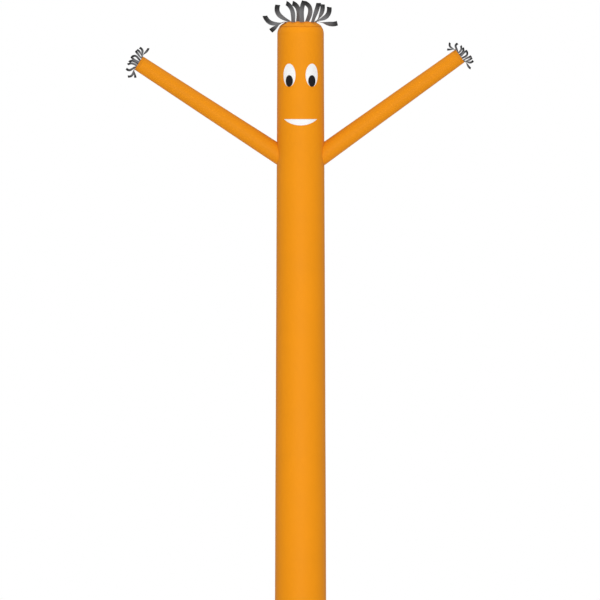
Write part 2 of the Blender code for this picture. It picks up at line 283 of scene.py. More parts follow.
def thickened(obj, thickness, offset, even=False):
    """The object's mesh as a sheet of that thickness; offset: -1 grows it inwards only."""
    solid = obj.modifiers.new("thickness", "SOLIDIFY")
    solid.thickness = thickness
    solid.offset = offset
    solid.use_even_offset = even
    bpy.context.view_layer.update()
    made = obj.evaluated_get(bpy.context.evaluated_depsgraph_get())
    thick = bpy.data.meshes.new_from_object(made)
    obj.modifiers.remove(solid)
    return thick


def cloth_piece(name, points, faces, flat, doubled, material, girth=0, thickness=CLOTH):
    """A sheet as a mesh with its thickness inwards. flat: each point's place on the cloth laid
    flat, in metres. girth: its size round, where it is closed. doubled: where it has two layers."""
    mesh = bpy.data.meshes.new(name)
    mesh.from_pydata(points, [], faces)
    layer = mesh.uv_layers.new(name="cloth")
    for face in mesh.polygons:
        across = [flat[v][0] for v in face.vertices]
        wraps = girth and max(across) - min(across) > girth / 2
        for loop, vertex in zip(face.loop_indices, face.vertices):
            u, v = flat[vertex]
            layer.data[loop].uv = (u + girth if wraps and u < girth / 2 else u, v)
    attribute = mesh.attributes.new("doubled", "FLOAT", "POINT")
    attribute.data.foreach_set("value", doubled)
    mesh.materials.append(material)
    obj = bpy.data.objects.new(name, mesh)
    bpy.context.scene.collection.objects.link(obj)
    if thickness:
        obj.data = thickened(obj, thickness, offset=-1, even=True)
        bpy.data.meshes.remove(mesh)
        obj.data.name = name
    obj.data.shade_smooth()
    obj.data.set_sharp_from_angle(angle=CORNER_ANGLE)
    return obj


GRID_CELL = 8 * MM  # of the orange nylon's ripstop grid
WEAVE_PITCH = 0.9 * MM
RIB_PITCH = 2.4 * MM  # of a ribbon's ribs
WEAVE_HEIGHT = 0.08 * MM
PATCH_SCALE = 3.5  # of the slow changes of tone
TONE_CHANGE = 0.10
ROUGHNESS_CHANGE = 0.12
GRID_DARKER = 0.035  # how much darker the grid's lines are
# Half widths of a thicker thread, where it fades out and where it is full, as shares of a cell
THREAD_EDGE, THREAD_CORE = 0.14, 0.04


def cloth_shader(name, colour, roughness, sheen=0.06, cell=GRID_CELL, doubled=0.1, ribbon=False):
    """Woven cloth: a ripstop grid, a fine weave, slow changes of tone, and a darker tone where
    the cloth lies double. A ribbon has ribs across it instead of the grid, and painted light:
    a painted satin sheen at its root that darkens to painted shade at its tip."""
    material = bpy.data.materials.new(name)
    material.use_nodes = True
    nodes, links = material.node_tree.nodes, material.node_tree.links
    shader = nodes["Principled BSDF"]

    def feed(socket, source):
        if hasattr(source, "is_output"):
            links.new(source, socket)
        else:
            socket.default_value = source

    def maths(operation, a, b=0.0, c=0.0):
        node = nodes.new("ShaderNodeMath")
        node.operation = operation
        for socket, source in zip(node.inputs, (a, b, c)):
            feed(socket, source)
        return node.outputs[0]

    flat = nodes.new("ShaderNodeUVMap")
    flat.uv_map = "cloth"
    parts = nodes.new("ShaderNodeSeparateXYZ")
    links.new(flat.outputs["UV"], parts.inputs[0])
    across, along = parts.outputs["X"], parts.outputs["Y"]

    def thread_line(place, pitch):
        """1 on a line of thicker thread and 0 between two of them."""
        share = maths("FRACT", maths("DIVIDE", place, pitch))
        apart = maths("ABSOLUTE", maths("SUBTRACT", share, 0.5))
        band = nodes.new("ShaderNodeMapRange")
        band.interpolation_type = "SMOOTHSTEP"
        band.inputs["From Min"].default_value = THREAD_EDGE
        band.inputs["From Max"].default_value = THREAD_CORE
        links.new(apart, band.inputs["Value"])
        return band.outputs["Result"]

    def weave(place, pitch):
        return maths("SINE", maths("MULTIPLY", place, math.tau / pitch))

    if ribbon:
        grid = maths("MULTIPLY", weave(along, RIB_PITCH), 0.5)
    else:
        grid = maths("MAXIMUM", thread_line(across, cell), thread_line(along, cell))
    fine = maths("MULTIPLY", weave(across, WEAVE_PITCH), weave(along, WEAVE_PITCH))

    place = nodes.new("ShaderNodeTexCoord")
    patches = nodes.new("ShaderNodeTexNoise")
    patches.inputs["Scale"].default_value = PATCH_SCALE
    patches.inputs["Detail"].default_value = 3
    links.new(place.outputs["Object"], patches.inputs["Vector"])
    change = maths("SUBTRACT", patches.outputs["Fac"], 0.5)
    tone = maths("MULTIPLY_ADD", change, TONE_CHANGE, 1.0)
    tone = maths("MULTIPLY_ADD", grid, -GRID_DARKER, tone)
    layers = nodes.new("ShaderNodeAttribute")
    layers.attribute_name = "doubled"
    tone = maths("MULTIPLY", tone, maths("MULTIPLY_ADD", layers.outputs["Fac"], -doubled, 1.0))
    # A ribbon's tone carries painted light: painted satin sheen near its root, darkening to painted
    # shade at its tip.
    if ribbon:
        painted_tone = nodes.new("ShaderNodeAttribute")
        painted_tone.attribute_name = "painted_sheen_and_shade"
        tone = maths("MULTIPLY", tone, painted_tone.outputs["Fac"])

    tint = nodes.new("ShaderNodeVectorMath")
    tint.operation = "SCALE"
    tint.inputs[0].default_value = colour
    links.new(tone, tint.inputs["Scale"])
    links.new(tint.outputs["Vector"], shader.inputs["Base Color"])

    worn = maths("MULTIPLY_ADD", change, ROUGHNESS_CHANGE, roughness)
    links.new(worn, shader.inputs["Roughness"])
    shader.inputs["Sheen Weight"].default_value = sheen
    shader.inputs["Sheen Roughness"].default_value = 0.4
    shader.inputs["Specular IOR Level"].default_value = 0.12

    height = maths("MULTIPLY_ADD", fine, 0.12, grid)
    bump = nodes.new("ShaderNodeBump")
    bump.inputs["Strength"].default_value = 0.5
    bump.inputs["Distance"].default_value = WEAVE_HEIGHT
    links.new(height, bump.inputs["Height"])
    links.new(bump.outputs["Normal"], shader.inputs["Normal"])
    return material


def stitch_tree():
    """Geometry nodes that lay stitches of thread along a line, with a space between them."""
    tree = bpy.data.node_groups.new("stitches", "GeometryNodeTree")
    face = tree.interface
    face.new_socket(name="Line", in_out="INPUT", socket_type="NodeSocketGeometry")
    for name in ("Stitch length", "Space between", "Thread radius"):
        face.new_socket(name=name, in_out="INPUT", socket_type="NodeSocketFloat")
    face.new_socket(name="Thread", in_out="INPUT", socket_type="NodeSocketMaterial")
    face.new_socket(name="Stitches", in_out="OUTPUT", socket_type="NodeSocketGeometry")
    nodes, links = tree.nodes, tree.links
    given, made = nodes.new("NodeGroupInput"), nodes.new("NodeGroupOutput")
    curve = nodes.new("GeometryNodeMeshToCurve")
    links.new(given.outputs["Line"], curve.inputs["Mesh"])
    pitch = nodes.new("ShaderNodeMath")
    links.new(given.outputs["Stitch length"], pitch.inputs[0])
    links.new(given.outputs["Space between"], pitch.inputs[1])
    spots = nodes.new("GeometryNodeCurveToPoints")
    spots.mode = "LENGTH"
    links.new(curve.outputs["Curve"], spots.inputs["Curve"])
    links.new(pitch.outputs[0], spots.inputs["Length"])
    thread = nodes.new("GeometryNodeMeshUVSphere")
    thread.inputs["Segments"].default_value = 6
    thread.inputs["Rings"].default_value = 4
    thread.inputs["Radius"].default_value = 1
    half = nodes.new("ShaderNodeMath")
    half.operation = "MULTIPLY"
    half.inputs[1].default_value = 0.5
    links.new(given.outputs["Stitch length"], half.inputs[0])
    size = nodes.new("ShaderNodeCombineXYZ")
    for axis in "XY":
        links.new(given.outputs["Thread radius"], size.inputs[axis])
    links.new(half.outputs[0], size.inputs["Z"])
    laid = nodes.new("GeometryNodeInstanceOnPoints")
    links.new(spots.outputs["Points"], laid.inputs["Points"])
    links.new(spots.outputs["Rotation"], laid.inputs["Rotation"])
    links.new(thread.outputs["Mesh"], laid.inputs["Instance"])
    links.new(size.outputs["Vector"], laid.inputs["Scale"])
    real = nodes.new("GeometryNodeRealizeInstances")
    links.new(laid.outputs["Instances"], real.inputs["Geometry"])
    painted = nodes.new("GeometryNodeSetMaterial")
    links.new(real.outputs["Geometry"], painted.inputs["Geometry"])
    links.new(given.outputs["Thread"], painted.inputs["Material"])
    links.new(painted.outputs["Geometry"], made.inputs["Stitches"])
    return tree


STITCHES = stitch_tree()


STITCH_LENGTH = 3.4 * MM
STITCH_SPACE = 1.4 * MM
THREAD_RADIUS = 0.45 * MM


def sew(name, rows, thread, closed=False, radius=THREAD_RADIUS):
    """Rows of stitches as one piece of plain mesh. rows: lists of points on the cloth."""
    points = [point for row in rows for point in row]
    edges, start = [], 0
    for row in rows:
        edges += [(start + i, start + i + 1) for i in range(len(row) - 1)]
        if closed:
            edges.append((start + len(row) - 1, start))
        start += len(row)
    guide_mesh = bpy.data.meshes.new(name)
    guide_mesh.from_pydata(points, edges, [])
    guide = bpy.data.objects.new(name + "_guide", guide_mesh)
    bpy.context.scene.collection.objects.link(guide)
    laid = guide.modifiers.new("stitches", "NODES")
    laid.node_group = STITCHES
    given = {
        "Stitch length": STITCH_LENGTH,
        "Space between": STITCH_SPACE,
        "Thread radius": radius,
        "Thread": thread,
    }
    for socket in STITCHES.interface.items_tree:
        if socket.name in given:
            laid[socket.identifier] = given[socket.name]
    bpy.context.view_layer.update()
    made = guide.evaluated_get(bpy.context.evaluated_depsgraph_get())
    mesh = bpy.data.meshes.new_from_object(made)
    mesh.materials.clear()
    mesh.materials.append(thread)
    mesh.polygons.foreach_set("material_index", [0] * len(mesh.polygons))
    bpy.data.objects.remove(guide)
    mesh.shade_smooth()
    obj = bpy.data.objects.new(name, mesh)
    bpy.context.scene.collection.objects.link(obj)
    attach(obj, "root")
    return obj


def thread_material(name, colour):
    """Twisted polyester thread."""
    material = bpy.data.materials.new(name)
    material.use_nodes = True
    nodes, links = material.node_tree.nodes, material.node_tree.links
    shader = nodes["Principled BSDF"]
    place = nodes.new("ShaderNodeTexCoord")
    fibres = nodes.new("ShaderNodeTexNoise")
    fibres.inputs["Scale"].default_value = 900
    links.new(place.outputs["Object"], fibres.inputs["Vector"])
    mix = nodes.new("ShaderNodeMix")
    mix.data_type = "RGBA"
    mix.inputs["A"].default_value = (*[c * 0.8 for c in colour], 1)
    mix.inputs["B"].default_value = (*colour, 1)
    links.new(fibres.outputs["Fac"], mix.inputs["Factor"])
    links.new(mix.outputs["Result"], shader.inputs["Base Color"])
    shader.inputs["Roughness"].default_value = 0.6
    return material


ORANGE = (0.868, 0.297, 0.004)
NYLON_ROUGHNESS = 0.6
tube_cloth = cloth_shader("orange nylon, tube", ORANGE, NYLON_ROUGHNESS)
orange_thread = thread_material("orange thread", (0.72, 0.235, 0.008))

# Rows from the hem's raw edge inside, down round the fold, up the outside, and under the head.
# Each has its kind and its place: a height, a turn round the fold, or a distance up from the
# head's seam.
FOLD_STEPS = 5
SEAM_END_ROWS = 7  # the felled seam's thread stops this many rows below the top edge
rows = [("inside", height * MM) for height in (50, 47, 44, 38, 26, 12)]
rows += [("fold", turn) for turn in spaced(math.pi, math.tau, FOLD_STEPS)]
# Up the outside they are closest at the hem's stitches and round the arms' holes
outer = [h * MM for h in (4, 10, 18, 27, 35, 40, 42, 44, 46, 48, 54, 64, 80)]
outer += spaced(0.1, 4.45, 170) + spaced(4.46, 5.04, 58) + spaced(5.06, 5.78, 36)
outer.append(SHOULDER_HEIGHT)
rows += [("wall", height) for height in outer]
seam_arc = (math.pi / 2 - SEAM_ANGLE) * SHOULDER_ROUNDING
rows += [("round", arc * MM - seam_arc) for arc in (8, 16, 24, 32, 40, 48, 53)]
rows += [("round", arc * MM) for arc in (-8, -6, -4, -2, 0, 3, 7, 12)]

angles = seam_columns(TUBE_COLUMNS, FLAT_RADIUS, SEAM_TURN)
count = len(angles)


def tube_point(kind, place, angle):
    """A point of the tube's outer face, and how far up the laid-out cloth it lies."""
    if kind == "inside":
        rise = wall_rise(angle, place) - fell_rise(0)
        return polar(skin_radius(angle, place) - 2 * HEM_FOLD + rise, angle, place), -place
    if kind == "fold":
        middle = skin_radius(angle, 0) - HEM_FOLD
        radius = middle + HEM_FOLD * math.cos(place)
        up = (place - 1.5 * math.pi) * HEM_FOLD
        return polar(radius, angle, HEM_FOLD * (1 + math.sin(place))), up
    if kind == "wall":
        rise = wall_rise(angle, place)
        rise += shoulder_pucker(angle, SHOULDER_HEIGHT + seam_arc - place)
        return polar(skin_radius(angle, place) + rise, angle, place), place
    turn = SEAM_ANGLE - place / SHOULDER_ROUNDING
    tuck = min(1.0, max(0.0, 1 + place / (8 * MM)))
    depth = TUCK_DEPTH * tuck * tuck * (3 - 2 * tuck)
    lift = fell_rise(from_seam(angle)) * (1 - tuck) - depth + shoulder_pucker(angle, place)
    lift += skin_radius(angle, SHOULDER_HEIGHT) - SHOULDER_RADIUS
    rounding = SHOULDER_ROUNDING + lift
    radius = SHOULDER_RADIUS - SHOULDER_ROUNDING + rounding * math.sin(turn)
    height = SHOULDER_HEIGHT + rounding * math.cos(turn)
    return polar(radius, angle, height), SHOULDER_HEIGHT + seam_arc + place


def doubled_here(kind, angle, place):
    """1 where the tube's cloth lies double: hem, felled seam and the edge under the head."""
    apart = abs(from_seam(angle))
    if kind in ("inside", "fold") or (kind == "wall" and place < FOOT_HEM_DEPTH):
        return 1.0
    under_head = kind == "round" and place > -1 * MM
    return 1.0 if apart < FELL_HALF or under_head else 0.0


points, flat, doubled = [], [], []
for kind, place in rows:
    for angle in angles:
        point, up = tube_point(kind, place, angle)
        points.append(point)
        flat.append(laid_flat(angle, up))
        doubled.append(doubled_here(kind, angle, place))

first_wall = next(i for i, (kind, _) in enumerate(rows) if kind == "wall")
# Each arm's hole: a block of the grid is left out, and rings lead from its rim to a round edge
holes, skipped = {}, set()
for side, arm in ARMS.items():
    middle = arm["frame"] @ Vector((0, 0, wall_distance(arm, 0, 0)))
    facing = math.atan2(middle.y, middle.x)
    row = min(range(len(outer)), key=lambda i: abs(outer[i] - middle.z)) + first_wall
    turned = [abs((angle - facing + math.pi) % math.tau - math.pi) for angle in angles]
    column = turned.index(min(turned))
    low, high = row - HOLE_ROWS, row + HOLE_ROWS
    left, right = column - HOLE_COLUMNS, column + HOLE_COLUMNS
    skipped |= {(i, j) for i in range(low, high) for j in range(left, right)}
    loop = [(low, j) for j in range(left, right)] + [(i, right) for i in range(low, high)]
    loop += [(high, j) for j in range(right, left, -1)] + [(i, left) for i in range(high, low, -1)]
    holes[side] = loop

faces = []
for i in range(len(rows) - 1):
    for j in range(count):
        if (i, j) not in skipped:
            k = (j + 1) % count
            faces.append((i * count + j, i * count + k, (i + 1) * count + k, (i + 1) * count + j))

for side, loop in holes.items():
    arm = ARMS[side]
    ring = [i * count + j for i, j in loop]
    edge = []
    for v in ring:
        local = arm["inverse"] @ points[v]
        turn = math.atan2(local.y, local.x)
        place = arm["frame"] @ polar(HOLE_RADIUS, turn, wall_distance(arm, turn, HOLE_RADIUS))
        edge.append((math.atan2(place.y, place.x) % math.tau, place.z))
    corners = [(angles[j] % math.tau, rows[i][1]) for i, j in loop]
    for step in range(1, HOLE_RINGS + 1):
        share = 1 - (1 - step / HOLE_RINGS) ** 1.6
        inner = []
        for (angle, height), (end_angle, end_height) in zip(corners, edge):
            gap = (end_angle - angle + math.pi) % math.tau - math.pi
            angle, height = angle + gap * share, height + (end_height - height) * share
            rise = 0 if step == HOLE_RINGS else wall_rise(angle, height)
            inner.append(len(points))
            points.append(polar(skin_radius(angle, height) + rise, angle, height))
            flat.append(laid_flat(angle, height))
            doubled.append(1.0 if step >= HOLE_RINGS - 1 else 0.0)
        for a in range(len(ring)):
            b = (a + 1) % len(ring)
            faces.append((ring[a], ring[b], inner[b], inner[a]))
        ring = inner

used = sorted({v for face in faces for v in face})
moved = {v: i for i, v in enumerate(used)}
body = cloth_piece(
    "tube_cloth",
    [points[v] for v in used],
    [tuple(moved[v] for v in face) for face in faces],
    [flat[v] for v in used],
    [doubled[v] for v in used],
    tube_cloth,
    girth=TUBE_GIRTH,
)
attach(body, "root")
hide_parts("body_tube")


THREAD_LIFT = 0.15 * MM  # how far the middle of a stitch lies above the cloth


def lifted(point):
    """The point, raised from the tube's wall to where a stitch lies."""
    return point + Vector((point.x, point.y, 0)).normalized() * THREAD_LIFT


seam_rows = []
for j, angle in enumerate(angles):
    if abs(abs(from_seam(angle)) - FELL_STITCH) < 0.2 * MM:
        column = [i * count + j for i in range(first_wall, len(rows) - SEAM_END_ROWS)]
        seam_rows.append([lifted(points[v]) for v in column])
hem_row = first_wall + outer.index(FOOT_STITCH)
hem_rows = [[lifted(points[hem_row * count + j]) for j in range(count)]]
for arm in ARMS.values():
    around = []
    for i in range(HOLE_STEPS):
        turn = math.tau * i / HOLE_STEPS
        radius = HOLE_RADIUS + HOLE_STITCH
        place = arm["frame"] @ polar(radius, turn, wall_distance(arm, turn, radius))
        angle = math.atan2(place.y, place.x)
        radius = skin_radius(angle, place.z) + wall_rise(angle, place.z)
        around.append(lifted(polar(radius, angle, place.z)))
    hem_rows.append(around)
tube_stitches = [
    sew("tube_seam_stitches", seam_rows, orange_thread),
    sew("tube_hem_stitches", hem_rows, orange_thread, closed=True),
]

# ---------------------------------------------------------------- Head panel
# A round panel of the same nylon closes the tube. Its edge is folded under and lapped over
# the tube's top, with two rows of stitches; the fullness is eased in as small gathers.
HEAD_COLUMNS = 120
HEAD_CROWN = 3 * MM
LAP_FOLD = 1.1 * MM  # radius of the fold at the panel's edge
LAP_RISE = 1.5 * MM  # the lap stands out this far over the tube's top edge
LAP_TURN_UNDER = 9 * MM
LAP_STITCHES = (3.2 * MM, 8.2 * MM)  # both rows, up from the seam
PANEL_FULLNESS = 1.3 * MM  # spare cloth that swells and sinks above the lap
DENT_AT_LAP = 0.4 * MM

head_cloth = cloth_shader("orange nylon, head", ORANGE, NYLON_ROUGHNESS)
flat_radius = SHOULDER_RADIUS - SHOULDER_ROUNDING
round_arc = SEAM_ANGLE * SHOULDER_ROUNDING


def eased(share, start=0.0, end=1.0):
    """From 0 at the start to 1 at the end, slow at both."""
    share = min(1.0, max(0.0, (share - start) / (end - start)))
    return share * share * (3 - 2 * share)


def head_point(along, depth, angle):
    """along: from the seam over the rounding towards the middle of the top. depth: how far the
    turned-under edge lies behind the panel's face."""
    gather = shoulder_pucker(angle, along)
    fullness = PANEL_FULLNESS * ripple(6 * math.cos(angle), 6 * math.sin(angle), 9)
    swell = math.exp(-(((along - 0.045) / 0.03) ** 2))
    lift = gather + fullness * swell - depth
    lap = 1 - eased(along, 0.012, 0.04)
    lift += lap * (LAP_RISE + skin_radius(angle, SHOULDER_HEIGHT) - SHOULDER_RADIUS)
    if depth == 0:
        lift -= DENT_AT_LAP * sum(math.exp(-(((along - s) / 0.0015) ** 2)) for s in LAP_STITCHES)
    if along <= round_arc:
        turn = SEAM_ANGLE - along / SHOULDER_ROUNDING
        rounding = SHOULDER_ROUNDING + lift
        radius = flat_radius + rounding * math.sin(turn)
        return polar(radius, angle, SHOULDER_HEIGHT + rounding * math.cos(turn))
    radius = max(0.0, flat_radius - (along - round_arc))
    crown = HEAD_CROWN * (1 - (radius / flat_radius) ** 2)
    return polar(radius, angle, SHOULDER_HEIGHT + SHOULDER_ROUNDING + crown + lift)


# Rows from the raw edge inside, round the fold, and over the face to the middle of the top
profile = [(a * MM, 2 * LAP_FOLD) for a in (9, 7, 5, 3, 1.6)]
profile += [
    (0.3 * MM + LAP_FOLD * (1 - math.sin(t)), LAP_FOLD * (1 + math.cos(t)))
    for t in spaced(0, math.pi, 8)
]
near_fold = (1.8, 2.5, 3.2, 4, 5, 6.2, 7.4, 8.2, 9, 10)
up_the_round = (13, 17, 22, 28, 35, 43, 52, 62, 72, 81, 91)
for along in near_fold + up_the_round:
    profile.append((along * MM, 0))
for share in (0, 0.08, 0.17, 0.27, 0.38, 0.5, 0.62, 0.74, 0.86, 0.95):
    profile.append((round_arc + flat_radius * share, 0))
points, flat, doubled, faces = [], [], [], []
for i, (along, depth) in enumerate(profile):
    for j in range(HEAD_COLUMNS):
        angle = math.tau * j / HEAD_COLUMNS
        points.append(head_point(along, depth, angle))
        out = flat_radius + round_arc - along if depth == 0 else flat_radius + round_arc + along
        flat.append((out * math.cos(angle), out * math.sin(angle)))
        doubled.append(1.0 if along < LAP_TURN_UNDER else 0.0)
        k = (j + 1) % HEAD_COLUMNS
        if i:
            below, here = (i - 1) * HEAD_COLUMNS, i * HEAD_COLUMNS
            faces.append((below + j, below + k, here + k, here + j))
points.append(head_point(round_arc + flat_radius, 0, 0))
flat.append((0, 0))
doubled.append(0.0)
last = len(points) - 1
for j in range(HEAD_COLUMNS):
    k = (j + 1) % HEAD_COLUMNS
    faces.append((last - HEAD_COLUMNS + j, last - HEAD_COLUMNS + k, last))
head = cloth_piece("head_panel", points, faces, flat, doubled, head_cloth)
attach(head, "root")
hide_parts("head_top")
lap_rows = [
    [head_point(s, -0.1 * MM, math.tau * j / HEAD_COLUMNS) for j in range(HEAD_COLUMNS)]
    for s in LAP_STITCHES
]
head_stitches = sew("head_seam_stitches", lap_rows, orange_thread, closed=True)

# ---------------------------------------------------------------- Arms
# Each arm is a tapered tube of the same nylon with a felled seam along its back. Its root is
# pushed through the hole, turned out flat behind the wall and sewn there; the hand end stays
# open, with a turned-in hem that also holds the tape of the strips.
ARM_COLUMNS = 60
ARM_FLAT_RADIUS = 77 * MM  # an arm's middle radius, for laying its cloth out flat
HAND_HEM_DEPTH = 25 * MM
HAND_STITCHES = (6 * MM, 22 * MM)  # both rows, back from the open end
ARM_ROOT_ROWS = 9  # rows close to the root, each a little farther apart
ARM_ROOT_STEP = 0.004  # the first of them, as a share of the arm's length
ARM_ROOT_GROWTH = 1.28
ARM_EVEN_ROWS = 76
HAND_STEPS = 90  # points of each row of stitches round a hand
ARM_SEAM_STEPS = 140
# The root from its raw edge: radius, and depth behind the wall or distance out along the arm
ROOT_PROFILE = (
    (98, -1.7), (93, -1.7), (88, -1.7), (85.6, -1.6), (84.4, -1.3), (84, -0.7), (84, 0.4),
    (84.3, 1.5), (84.7, 2.8), (85, 4.5),
)
ARM_EVEN = 0.07  # the last stretch, where rows lie square to the arm
ARM_FELL_SHARE = 0.8  # height of an arm's felled seam against the tube's
# How far an arm's cloth rises and falls at most
ARM_PUCKER_AT_FELL = 0.7 * MM
ARM_CREASE_AT_ROOT = 2.4 * MM
ARM_UNEVENNESS = 0.6 * MM
HAND_PUCKER = 0.7 * MM
DENT_AT_HAND = 0.4 * MM  # under the hand's rows of stitches

# The arms' orange is the tube's orange painted a little darker, as painted shade.
arm_cloth = cloth_shader("orange nylon, arms, painted shade", (0.82, 0.278, 0.004), NYLON_ROUGHNESS)


def root_distance(arm, turn, radius, along):
    """How far along the arm a point of its root lies; behind the wall it follows the wall."""
    distance = wall_distance(arm, turn, radius)
    if along > 0:
        return distance + along
    place = arm["frame"] @ polar(radius, turn, distance)
    square = Vector((place.x, place.y, 0)).normalized().dot(arm["frame"].col[2].xyz)
    return distance + (along + wall_rise(math.atan2(place.y, place.x), place.z)) / square


def arm_radius(arm, distance):
    """The plain taper from the root to the hand."""
    share = (distance - ARM_ROOT_REACH) / (arm["reach"] - ARM_ROOT_REACH)
    return ARM_ROOT_RADIUS + (HAND_RADIUS - ARM_ROOT_RADIUS) * share


def arm_rise(arm, turn, distance, start, seam=1.0):
    """What lifts or dents an arm's cloth: seam, creases at the root, hem and unevenness."""
    seed = arm["seed"]
    apart = from_seam(turn, ARM_FLAT_RADIUS)
    along = distance - start
    x, y = math.cos(turn), math.sin(turn)
    end = arm["reach"] - distance
    near_fell = math.exp(-abs(apart) / 0.025)
    near_root = math.exp(-along / 0.06) * min(1.0, along / 0.015)
    near_hem = math.exp(-abs(end - HAND_HEM_DEPTH) / 0.012)
    rise = seam * fell_rise(apart) * ARM_FELL_SHARE
    rise *= min(1.0, max(0.0, (along - 0.004) / 0.01))
    rise += ARM_PUCKER_AT_FELL * near_fell * ripple(distance / 0.03, apart / 0.04, seed)
    rise += ARM_CREASE_AT_ROOT * near_root * ripple(3.2 * x, 3.2 * y, seed + along * 6)
    rise += ARM_UNEVENNESS * ripple(1.5 * x, 1.5 * y, seed + 2.5 * distance)
    rise += HAND_PUCKER * near_hem * ripple(6 * x, 6 * y, seed + 4)
    rise -= DENT_AT_HAND * sum(math.exp(-(((end - s) / 0.002) ** 2)) for s in HAND_STITCHES)
    return rise


def arm_rows(arm, turns):
    """Rows of an arm's cloth from the root's raw edge to the hem's raw edge inside the hand. Each
    has a (radius, distance along the arm, doubled) for every turn round the arm."""
    reach = arm["reach"]
    starts = [wall_distance(arm, turn, ARM_ROOT_RADIUS) for turn in turns]
    rows = []
    for radius, along in ROOT_PROFILE:
        radius *= MM
        layers = 1.0 if radius > HOLE_RADIUS else 0.0
        rows.append([(radius, root_distance(arm, t, radius, along * MM), layers) for t in turns])
    shares = [ARM_ROOT_STEP * ARM_ROOT_GROWTH**i for i in range(ARM_ROOT_ROWS)]
    shares += spaced(shares[-1] + 3 * ARM_ROOT_STEP, 1, ARM_EVEN_ROWS)
    for share in shares:
        row = []
        for turn, start in zip(turns, starts):
            begin = start + ROOT_PROFILE[-1][1] * MM
            distance = begin + share * (reach - ARM_EVEN - begin)
            rise = arm_rise(arm, turn, distance, start)
            row.append((arm_radius(arm, distance) + rise, distance, 0.0))
        rows.append(row)
    # Outside the hem: distances back from the open end, closest at its stitches
    for end in (60, 50, 42, 35, 30, 27, 24, 22, 20, 17, 13, 9, 7.5, 6, 4.5, 3, HEM_FOLD / MM):
        distance = reach - end * MM
        row = []
        for turn, start in zip(turns, starts):
            rise = arm_rise(arm, turn, distance, start)
            layers = 1.0 if end * MM < HAND_HEM_DEPTH else 0.0
            row.append((arm_radius(arm, distance) + rise, distance, layers))
        rows.append(row)
    for turn_in in spaced(0, math.pi, FOLD_STEPS)[1:]:
        row = []
        for turn, start in zip(turns, starts):
            rise = arm_rise(arm, turn, reach, start, (1 + math.cos(turn_in)) / 2)
            radius = HAND_RADIUS - HEM_FOLD + HEM_FOLD * math.cos(turn_in) + rise
            row.append((radius, reach - HEM_FOLD + HEM_FOLD * math.sin(turn_in), 1.0))
        rows.append(row)
    for end in (4, 6, 9, 14, 20, 25):  # inside the hem
        distance = reach - end * MM
        row = []
        for turn, start in zip(turns, starts):
            rise = arm_rise(arm, turn, distance, start, 0)
            row.append((arm_radius(arm, distance) - 2 * HEM_FOLD + rise, distance, 1.0))
        rows.append(row)
    return rows


def arm_stitch(arm, turn, distance):
    """A point of a row of stitches on an arm."""
    start = wall_distance(arm, turn, ARM_ROOT_RADIUS)
    radius = arm_radius(arm, distance) + arm_rise(arm, turn, distance, start) + THREAD_LIFT
    return arm["frame"] @ polar(radius, turn, distance)


arm_turns = seam_columns(ARM_COLUMNS, ARM_FLAT_RADIUS, SEAM_TURN)
count = len(arm_turns)
for side, arm in ARMS.items():
    reach = arm["reach"]
    grid = arm_rows(arm, arm_turns)
    points, flat, doubled, faces = [], [], [], []
    lengths = [0.0] * count
    for i, row in enumerate(grid):
        for j, (radius, distance, layers) in enumerate(row):
            if i:
                before = grid[i - 1][j]
                lengths[j] += math.hypot(radius - before[0], distance - before[1])
                k = (j + 1) % count
                below, here = (i - 1) * count, i * count
                faces.append((below + j, below + k, here + k, here + j))
            points.append(arm["frame"] @ polar(radius, arm_turns[j], distance))
            across = ARM_FLAT_RADIUS * (arm_turns[j] - SEAM_TURN) % (math.tau * ARM_FLAT_RADIUS)
            flat.append((across, lengths[j]))
            doubled.append(layers)
    piece = cloth_piece(
        f"{side}_arm_cloth",
        points,
        faces,
        flat,
        doubled,
        arm_cloth,
        girth=math.tau * ARM_FLAT_RADIUS,
    )
    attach(piece, "root")
    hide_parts(f"arm_{side}")

    ring_rows = [
        [arm_stitch(arm, math.tau * i / HAND_STEPS, reach - s) for i in range(HAND_STEPS)]
        for s in HAND_STITCHES
    ]
    seam_rows = []
    for sign in (-1, 1):
        turn = SEAM_TURN + sign * FELL_STITCH / ARM_FLAT_RADIUS
        start = wall_distance(arm, turn, ARM_ROOT_RADIUS) + 12 * MM
        distances = spaced(start, reach - 3 * MM, ARM_SEAM_STEPS)
        seam_rows.append([arm_stitch(arm, turn, distance) for distance in distances])
    arm_stitches = [
        sew(f"{side}_hand_hem_stitches", ring_rows, orange_thread, closed=True),
        sew(f"{side}_arm_seam_stitches", seam_rows, orange_thread),
    ]

# ---------------------------------------------------------------- Face
# Eye whites, pupils and the half-moon smile are cut from nylon, their edges turned under, and
# each is sewn flat on the wall with one row of stitches just inside its edge.
EYE_SPREAD, PUPIL_SPREAD = math.radians(29.25), math.radians(28.65)  # from the front's middle
EYE_HEIGHT, EYE_HALF_WIDTH, EYE_HALF_HEIGHT = 5.431, 0.061, 0.1015
PUPIL_HEIGHT, PUPIL_HALF_WIDTH, PUPIL_HALF_HEIGHT = 5.380, 0.0355, 0.051
SMILE_TOP, SMILE_HALF_WIDTH, SMILE_DEPTH = 5.045, 0.160, 0.055
SMILE_FULLNESS = 2.0  # power of its lower edge's curve
PATCH_COLUMNS = 48
PATCH_FILL = 8  # rows of the inside of a patch, from its upper to its lower edge
# From the inside of the top face, over the turned-under edge, to the inside of the underside:
# distance in from the outline and lift from the wall, in mm
PATCH_EDGE = (
    (7.5, 1.1), (6.8, 1.5), (6, 1.9), (4.8, 1.95), (4.2, 1.6), (3.5, 1.6), (2.9, 1.95),
    (2, 1.9), (1.2, 1.9), (0.4, 1.6), (0, 1.1), (0.4, 0.5), (1.2, 0.3), (2.2, 0.3), (3.4, 0.3),
    (4.6, 0.3), (6, 0.3), (7.5, 0.3),
)
PATCH_STITCH = (3.85, 1.7)  # where the row of stitches lies, measured in the same way
PATCH_STITCH_STEPS = 40
PATCH_CELL = 7 * MM
PATCH_TOP = 1 * MM  # above this lift a patch's face is a little uneven
PUPIL_LIFT = 2.2 * MM  # from the tube's wall, over the white

